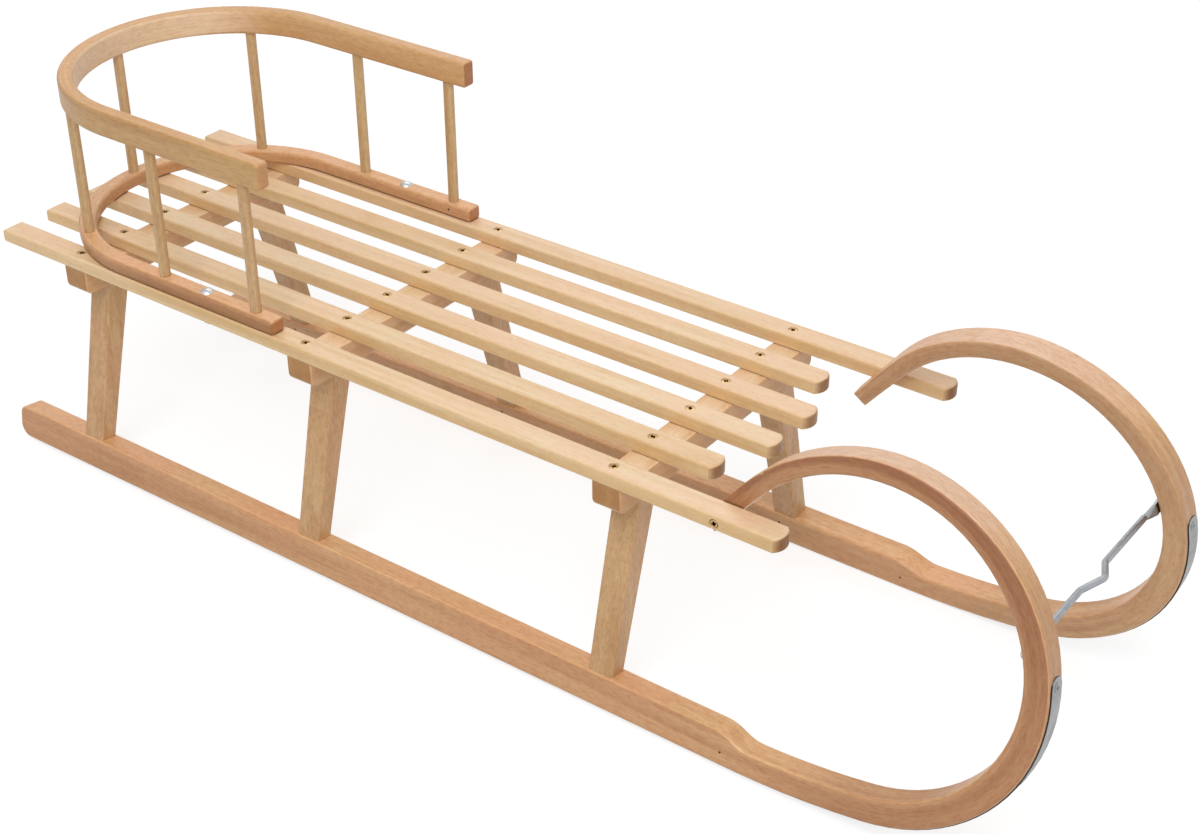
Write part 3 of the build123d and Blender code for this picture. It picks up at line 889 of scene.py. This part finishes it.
def screw_shape(rings, depth=SLOT_DEPTH, gap_from=NO_GAP):
    """A screw whose (radius, drop) rings run from the head's rim to its tip.

    Its slot, and all that lies further out than gap_from, take the piece's second finish: where that
    is dark, it paints shade into the slot and a shadow ring round the head.
    """
    shape = slot_shape(depth)
    slot = set(shape.faces)
    mouth = loose_edges(shape)
    rim_radius, rim_drop = rings[0]
    rim = bmesh.ops.create_circle(shape, segments=RING_STEPS, radius=rim_radius)["verts"]
    bmesh.ops.translate(shape, vec=(0, 0, -rim_drop), verts=rim)
    edges = loose_edges(shape, rim)
    bmesh.ops.bridge_loops(shape, edges=edges + mouth)
    for (radius, drop), (next_radius, next_drop) in zip(rings, rings[1:]):
        grown = bmesh.ops.extrude_edge_only(shape, edges=edges)["geom"]
        verts = [v for v in grown if isinstance(v, bmesh.types.BMVert)]
        edges = loose_edges(shape, verts)
        share = next_radius / radius
        bmesh.ops.scale(shape, vec=(share, share, 1), verts=verts)
        bmesh.ops.translate(shape, vec=(0, 0, drop - next_drop), verts=verts)
    bmesh.ops.contextual_create(shape, geom=edges)
    bmesh.ops.recalc_face_normals(shape, faces=list(shape.faces))
    for face in shape.faces:
        reach = face.calc_center_median().xy.length
        face.material_index = int(face in slot or reach > gap_from)
    return shape


print("heads have", RING_STEPS, "sides")

# %% [markdown]
# Four kinds of screw are needed: flat ones for the slats, the same with a shallow slot for the strips,
# a pan head for the draw rod, and one for the horns, whose head is smaller than its hole, over a dark
# flange that is a painted shadow in the gap.

# %% Kinds of screw
SCREW_LENGTH = 0.012
SHANK_RADIUS = 0.0020
SHALLOW_SLOT = 0.0008
# Beyond this radius the horn screw's flange takes the dark finish, a painted shadow ring.
HORN_GAP_FROM = 0.0038
FLAT_HEAD = (
    (0.0040, 0.0),
    (0.0043, 0.00015),
    (0.0043, 0.0004),
    (SHANK_RADIUS, 0.0027),
    (SHANK_RADIUS, SCREW_LENGTH),
)
HORN_HEAD = (
    (0.0036, 0.0),
    (0.0037, 0.0001),
    (0.0037, 0.0007),
    (0.0047, 0.0007),
    (SHANK_RADIUS, 0.0034),
    (SHANK_RADIUS, SCREW_LENGTH),
)
PAN_HEAD = (
    (0.0026, -0.0001),
    (0.0034, 0.0002),
    (0.0039, 0.0009),
    (0.0040, 0.00255),
    (SHANK_RADIUS, 0.00255),
    (SHANK_RADIUS, SCREW_LENGTH),
)
flat_screw = screw_shape(FLAT_HEAD)
shoe_screw = screw_shape(FLAT_HEAD, depth=SHALLOW_SLOT)
horn_screw = screw_shape(HORN_HEAD, gap_from=HORN_GAP_FROM)
pan_screw = screw_shape(PAN_HEAD)
print("screws have", len(flat_screw.faces), "and", len(pan_screw.faces), "faces")

# %% [markdown]
# A finished piece keeps its object at the origin, with its place in its mesh,
# as the frame's own pieces do. So `place_piece` moves the mesh, and then lets
# the piece ride with the sled. A screw is placed by its spot and by the way
# its head faces.

# %% Placing small pieces
SHARP_ANGLE = radians(30)


def place_piece(name, shape, matrix, finish, dark=pin_steel):
    """Turns a bmesh into a piece that rides with the sled, at its place."""
    mesh = bpy.data.meshes.new(name)
    shape.to_mesh(mesh)
    mesh.transform(matrix)
    mesh.materials.append(finish)
    # The second finish paints shade into the slot, and a shadow ring round a horn screw's head.
    mesh.materials.append(dark)
    mesh.shade_smooth()
    mesh.set_sharp_from_angle(angle=SHARP_ANGLE)
    piece = bpy.data.objects.new(name, mesh)
    bpy.context.scene.collection.objects.link(piece)
    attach(piece, "root")


def facing_matrix(spot, way, turn=0.0):
    """Stands a shape's Z axis along a way at a spot, turned about itself."""
    stand = Vector(way).to_track_quat("Z", "Y").to_matrix().to_4x4()
    return Matrix.Translation(spot) @ stand @ Matrix.Rotation(turn, 4, "Z")


print("pieces can be placed")

# %% [markdown]
# ### Slat screws
# They sit a little below the top of the slats, one over each beam. Their slots
# never line up on a real sled, so each is turned by another angle.

# %% Slat screws
SCREW_SINK = 0.0005
TURN_STEP = radians(37)

beam_x = []
for name in ("front", "middle", "rear"):
    low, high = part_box("cross_beam_" + name)
    beam_x.append((name, (low.x + high.x) / 2))
count = 0
for row in ("inner", "middle", "outer"):
    for side in ("left", "right"):
        low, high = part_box(f"slat_{row}_{side}")
        for beam, x in beam_x:
            spot = (x, (low.y + high.y) / 2, high.z - SCREW_SINK)
            matrix = facing_matrix(spot, UPRIGHT, TURN_STEP * count)
            place_piece(f"slat_screw_{row}_{beam}_{side}", flat_screw, matrix, screw_steel)
            count += 1
print(count, "slat screws")

# %% [markdown]
# ### Horn screws
# Each horn ends flat against the inside of an outer slat, and one screw from outside holds it there.
# Its hole is a little too wide for it, so shadow shows round its head, and a dark flange under the
# head paints that shadow ring.

# %% Horn screws
HORN_SCREW_X = 0.2965
HORN_SCREW_BELOW = 0.008
HORN_SCREW_TURN = radians(20)

for side, sign in (("left", 1), ("right", -1)):
    low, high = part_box("slat_outer_" + side)
    face = max(abs(low.y), abs(high.y)) - SCREW_SINK
    spot = (HORN_SCREW_X, sign * face, high.z - HORN_SCREW_BELOW)
    matrix = facing_matrix(spot, (0, sign, 0), HORN_SCREW_TURN)
    place_piece("horn_screw_" + side, horn_screw, matrix, screw_steel)
print("horn screws sit", round(face, 4), "m out")

# %% [markdown]
# ### Places on a runner
# The runners lean, so anything fixed to one is easier to place in the runner's
# own terms: forward, up the lean, and outwards. `on_runner` turns those into
# the sled's x, y and z, for the left or the right runner.

# %% Runner places
def on_runner(sign, forward, up, out):
    """A place given along, up and out of a runner, in the sled's terms."""
    side = RUNNER_Y - up * sin(RUNNER_LEAN) + out * cos(RUNNER_LEAN)
    height = RUNNER_LIFT + up * cos(RUNNER_LEAN) + out * sin(RUNNER_LEAN)
    return Vector((forward, sign * side, height))


def way_on_runner(sign, forward, up, out):
    """A direction given in the same terms."""
    return on_runner(sign, forward, up, out) - on_runner(sign, 0, 0, 0)


def on_curl(sign, turn, radius):
    """A place round the curl, and the way out from its middle there."""
    forward = CURL_MIDDLE.x + radius * sin(turn)
    up = CURL_MIDDLE.y - radius * cos(turn)
    return on_runner(sign, forward, up, 0), way_on_runner(sign, sin(turn), -cos(turn), 0)


print("left sole is", round(on_runner(1, 0, 0, 0).z, 4), "m off the ground")

# %% [markdown]
# ### Draw rod screws
# The flattened ends of the draw rod lie on the inside of the curls, each under
# a pan-head screw. The eye sits where the curl has turned a little more than a
# right angle, and the head rests on the flat end.

# %% Draw rod screws
ROD_TURN = radians(97.4)
EYE_TURN = RISE_TURN + ROD_TURN
TONGUE_TOP_IN = 0.0137
PAN_HEIGHT = 0.0026
ROD_SCREW_TURN = radians(25)

for side, sign in (("left", 1), ("right", -1)):
    spot, outward = on_curl(sign, EYE_TURN, CURL_RADIUS - TONGUE_TOP_IN - PAN_HEIGHT)
    matrix = facing_matrix(spot, -outward, ROD_SCREW_TURN)
    place_piece("draw_rod_screw_" + side, pan_screw, matrix, bolt_steel)
print("rod screw at", [round(v, 4) for v in spot])

# %% [markdown]
# ### Shoe screws
# The steel strip is let into the sole and screwed on from below. One screw
# shows near its front end, high on the curl. To seat each head on the strip, we
# shoot a ray at it from outside and take the point that it hits.

# %% Shoe screws
SOLE_SCREW_X = (-0.57, -0.33, -0.10, 0.10, 0.31)
CURL_SCREW_TURNS = (32, 66, 98.4)
HEAD_PROUD = 0.0003
RAY_START = 0.05


def surface_tree(name):
    """A search tree of a frame piece's faces, for finding its surface."""
    mesh = solids[name].data
    points = [vert.co for vert in mesh.vertices]
    return BVHTree.FromPolygons(points, [face.vertices for face in mesh.polygons])


for side, sign in (("left", 1), ("right", -1)):
    strip = surface_tree("runner_shoe_" + side)
    down = way_on_runner(sign, 0, -1, 0)
    aims = [(on_runner(sign, x, 0, 0), down) for x in SOLE_SCREW_X]
    aims += [on_curl(sign, radians(turn), CURL_RADIUS) for turn in CURL_SCREW_TURNS]
    for step, (spot, out) in enumerate(aims):
        hit = strip.ray_cast(spot + out * RAY_START, -out)[0]
        matrix = facing_matrix(hit + out * HEAD_PROUD, out, TURN_STEP * step)
        place_piece(f"shoe_screw_{step}_{side}", shoe_screw, matrix, shoe_steel, shoe_steel)
    print(side, "front screw is", round((hit - spot).length, 4), "m outside the band's middle")

# %% [markdown]
# ### Pins
# Small dark pins lock the leg tenons in the runners and the front spindles in
# the foot hoop, and one goes through each rail just before the bend. Only
# their heads show: a disc, inset and raised to a low dome, on a short skirt.

# %% Pin shape
PIN_RADIUS = 0.0011
PIN_STEPS = 16
PIN_DOME = 0.4 * PIN_RADIUS
PIN_PROUD = 0.0002
PIN_SKIRT = 4 * PIN_PROUD

pin = bmesh.new()
bmesh.ops.create_circle(pin, cap_ends=True, segments=PIN_STEPS, radius=PIN_RADIUS)
bmesh.ops.translate(pin, vec=(0, 0, -PIN_PROUD), verts=list(pin.verts))
bmesh.ops.inset_region(pin, faces=list(pin.faces), thickness=PIN_DOME, depth=2 * PIN_PROUD)
bmesh.ops.extrude_edge_only(pin, edges=loose_edges(pin))
skirt = {vert for edge in loose_edges(pin) for vert in edge.verts}
bmesh.ops.translate(pin, vec=(0, 0, -PIN_SKIRT), verts=list(skirt))
bmesh.ops.contextual_create(pin, geom=loose_edges(pin))
bmesh.ops.recalc_face_normals(pin, faces=list(pin.faces))
print("a pin has", len(pin.faces), "faces")

# %% [markdown]
# The front spindles stand in the middle of the foot hoop's width, so the
# hoop's inner face lies as far inside them as its outer face lies outside.

# %% Pins
RUNNER_HALF = 0.013
RAIL_PIN_X = 0.320
RAIL_PIN_UP = 0.014
TENON_PIN_UP = 0.024
TENON_PIN_BACK = 0.005
SPINDLE_PIN_UP = 0.008

for side, sign in (("left", 1), ("right", -1)):
    for label, out in (("out", 1), ("in", -1)):
        spot = on_runner(sign, RAIL_PIN_X, RAIL_PIN_UP, out * RUNNER_HALF)
        way = way_on_runner(sign, 0, 0, out)
        place_piece(f"rail_pin_{label}_{side}", pin, facing_matrix(spot, way), pin_steel)
    for beam, x in beam_x:
        spot = on_runner(sign, x - TENON_PIN_BACK, TENON_PIN_UP, -RUNNER_HALF)
        way = way_on_runner(sign, 0, 0, -1)
        place_piece(f"tenon_pin_{beam}_{side}", pin, facing_matrix(spot, way), pin_steel)
    low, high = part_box("spindle_front_" + side)
    hoop_low, hoop_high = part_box("backrest_foot_hoop")
    inner_face = abs(low.y + high.y) - hoop_high.y
    spot = ((low.x + high.x) / 2, sign * inner_face, hoop_low.z + SPINDLE_PIN_UP)
    place_piece("spindle_pin_" + side, pin, facing_matrix(spot, (0, -sign, 0)), pin_steel)
print("pins placed, the last", [round(v, 4) for v in spot])

# %% [markdown]
# ## The stage
# A plain white floor and a white sky, so that nothing draws the eye from the
# sled. More light would wash the wood out, so the white comes from the
# materials: rays that come straight from the camera, or by way of the steel's
# mirror images, meet a glowing floor and a white sky, and all others meet a
# plain pale floor and a dimmer sky. The sled's soft shadow still shows.

# %% Floor
FLOOR_HALF = 6.0
FLOOR_GREY = 0.78
FLOOR_WHITE = 1.10
SHADOW_SHARE = 0.35
GLOW_NEAR = 1.2
GLOW_FAR = 3.0


def lit_and_seen(tree, output, lit, seen):
    """Ends a tree with one shader for the light and another for the eye."""
    rays = node(tree, "LightPath").outputs
    straight = maths(tree, "MAXIMUM", rays["Is Camera Ray"], rays["Is Glossy Ray"])
    straight = maths(tree, "MAXIMUM", straight, rays["Is Transmission Ray"])
    mixed = node(tree, "MixShader", {0: straight, 1: lit.outputs[0], 2: seen.outputs[0]})
    node(tree, output, {"Surface": mixed.outputs[0]})


floor_shape = bmesh.new()
bmesh.ops.create_grid(floor_shape, x_segments=1, y_segments=1, size=FLOOR_HALF)
floor_mesh = bpy.data.meshes.new("floor")
floor_shape.to_mesh(floor_mesh)
floor = bpy.data.objects.new("floor", floor_mesh)
bpy.context.scene.collection.objects.link(floor)

paper, tree = new_finish("white_paper")
plain = node(tree, "BsdfDiffuse", {"Color": (FLOOR_GREY, FLOOR_GREY, FLOOR_GREY, 1)})
shadow = node(tree, "BsdfDiffuse", {"Color": (SHADOW_SHARE, SHADOW_SHARE, SHADOW_SHARE, 1)})
x, y, z = object_place(tree)
away = length_of(tree, x, y)
strength = fade(tree, away, GLOW_NEAR, GLOW_FAR, FLOOR_WHITE - SHADOW_SHARE, 1.0)
glow = node(tree, "Emission", {"Color": (1, 1, 1, 1), "Strength": strength})
bright = node(tree, "AddShader", {0: shadow.outputs[0], 1: glow.outputs[0]})
lit_and_seen(tree, "OutputMaterial", plain, bright)
floor_mesh.materials.append(paper)
print("floor is", 2 * FLOOR_HALF, "m wide")

# %% [markdown]
# The sky is done in the same way: dim for the light that it gives, so that the
# lamps still model the wood, and full white for the eye.

# %% Sky
SKY_STRENGTH = 0.42

world = bpy.data.worlds.new("white_sky")
bpy.context.scene.world = world
world.use_nodes = True
tree = world.node_tree
tree.nodes.clear()
dim = node(tree, "Background", {"Color": (1, 1, 1, 1), "Strength": SKY_STRENGTH})
white = node(tree, "Background", {"Color": (1, 1, 1, 1), "Strength": 1.0})
lit_and_seen(tree, "OutputWorld", dim, white)
print("sky gives", SKY_STRENGTH, "of its white as light")

# %% [markdown]
# ## Light
# One large soft lamp hangs above the right front of the sled, as a window
# would, and a weaker one fills from behind, on its left. They are big, so the
# shadows stay soft, and weak enough that each wood shows about as it is
# written.

# %% Lamps
LAMP_SIZE = 3.0
LAMP_AIM = Vector((0, 0, 0.2))


def soft_lamp(name, place, power):
    """A square lamp that looks at the middle of the sled."""
    lamp = bpy.data.lights.new(name, "AREA")
    lamp.shape = "SQUARE"
    lamp.size = LAMP_SIZE
    lamp.energy = power
    holder = bpy.data.objects.new(name, lamp)
    bpy.context.scene.collection.objects.link(holder)
    holder.location = place
    holder.rotation_mode = "QUATERNION"
    holder.rotation_quaternion = (LAMP_AIM - Vector(place)).to_track_quat("-Z", "Y")


soft_lamp("key_lamp", place=(1.3, -2.5, 3.9), power=125)
soft_lamp("back_lamp", place=(-1.5, 2.5, 3.5), power=30)
print(len(bpy.data.lights), "lamps")

# %% [markdown]
# ## Finish
# The looks must not change the sled's size. Last, the view layer is brought up to date.

# %% Finish
bpy.context.view_layer.update()
